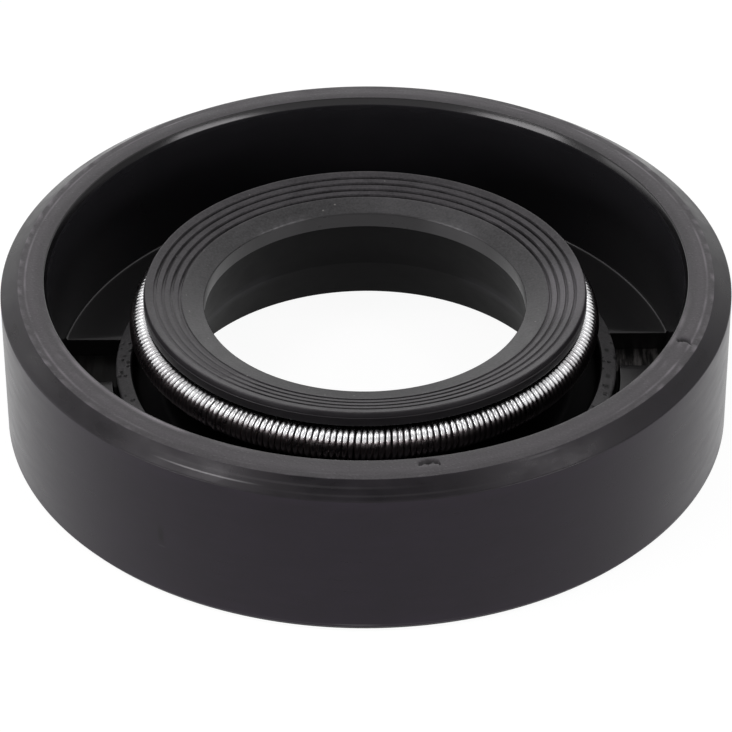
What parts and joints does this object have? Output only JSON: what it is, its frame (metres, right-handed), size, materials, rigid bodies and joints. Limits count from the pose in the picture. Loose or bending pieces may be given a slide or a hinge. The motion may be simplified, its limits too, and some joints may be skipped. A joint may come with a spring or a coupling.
{
  "type": "radial shaft seal",
  "caption": "Rubber-covered rotary shaft seal: a round body with an open channel on one side, a flexible sealing lip and a garter spring seated round the lip.",
  "frame": {"origin": "centre of the flat air-side face", "axes": "+Z along the shaft's axis, from the flat air side towards the spring side; the two floor pockets lie towards +X and -X"},
  "size_m": [0.035, 0.035, 0.008],
  "materials": {
    "seal_rubber": "black moulded nitrile rubber, satin, with a trimmed rim",
    "insert_steel": "drawn sheet with a brownish bonding coat, seen only at the bottom of the pockets",
    "spring_wire": "bright drawn wire, close wound"
  },
  "bodies": {
    "root": {"rubber_body": "seal_rubber", "steel_insert": "insert_steel", "garter_spring": "spring_wire"}
  },
  "joints": []
}
